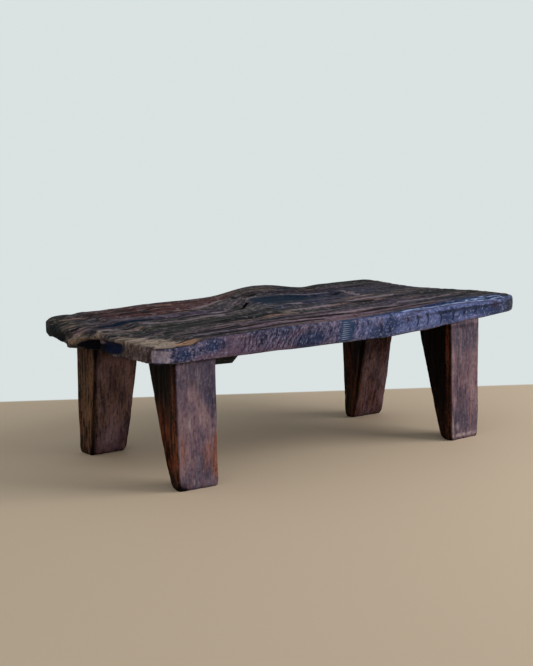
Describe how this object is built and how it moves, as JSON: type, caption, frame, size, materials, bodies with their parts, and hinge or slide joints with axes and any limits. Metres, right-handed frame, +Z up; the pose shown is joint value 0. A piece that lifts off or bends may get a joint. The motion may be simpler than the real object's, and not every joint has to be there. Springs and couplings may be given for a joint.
{
  "type": "low table",
  "caption": "Low hand-hewn wooden table: a thick slab with wandering edges on legs that taper to the foot, with a batten nailed under its cracked end.",
  "frame": {"origin": "on the floor under the middle of the slab's outline", "axes": "+X along the slab, from the notched left end to the right end as seen from the front; +Y from the straight front edge to the wavy back edge; +Z up"},
  "size_m": [1.2006, 0.602, 0.3563],
  "materials": {
    "slab_wood": "weathered, furrowed, worn dark brown with a grey-green bloom",
    "leg_wood": "hewn and rubbed, red-brown with a grey bloom",
    "wedge_wood": "riven, raw",
    "batten_wood": "sawn, dark grey-green with age",
    "forged_iron": "hammered, dull brown rust"
  },
  "bodies": {
    "root": {"tabletop_slab": "slab_wood", "leg_front_left": "leg_wood", "leg_front_right": "leg_wood", "leg_back_left": "leg_wood", "leg_back_right": "leg_wood", "tenon_wedge_front_left_1": "wedge_wood", "tenon_wedge_front_left_2": "wedge_wood", "tenon_wedge_front_right_1": "wedge_wood", "tenon_wedge_front_right_2": "wedge_wood", "tenon_wedge_back_left_1": "wedge_wood", "tenon_wedge_back_left_2": "wedge_wood", "tenon_wedge_back_right_1": "wedge_wood", "tenon_wedge_back_right_2": "wedge_wood", "left_end_batten": "batten_wood", "batten_nail_1": "forged_iron", "batten_nail_2": "forged_iron", "batten_nail_3": "forged_iron", "batten_nail_4": "forged_iron"}
  },
  "joints": []
}
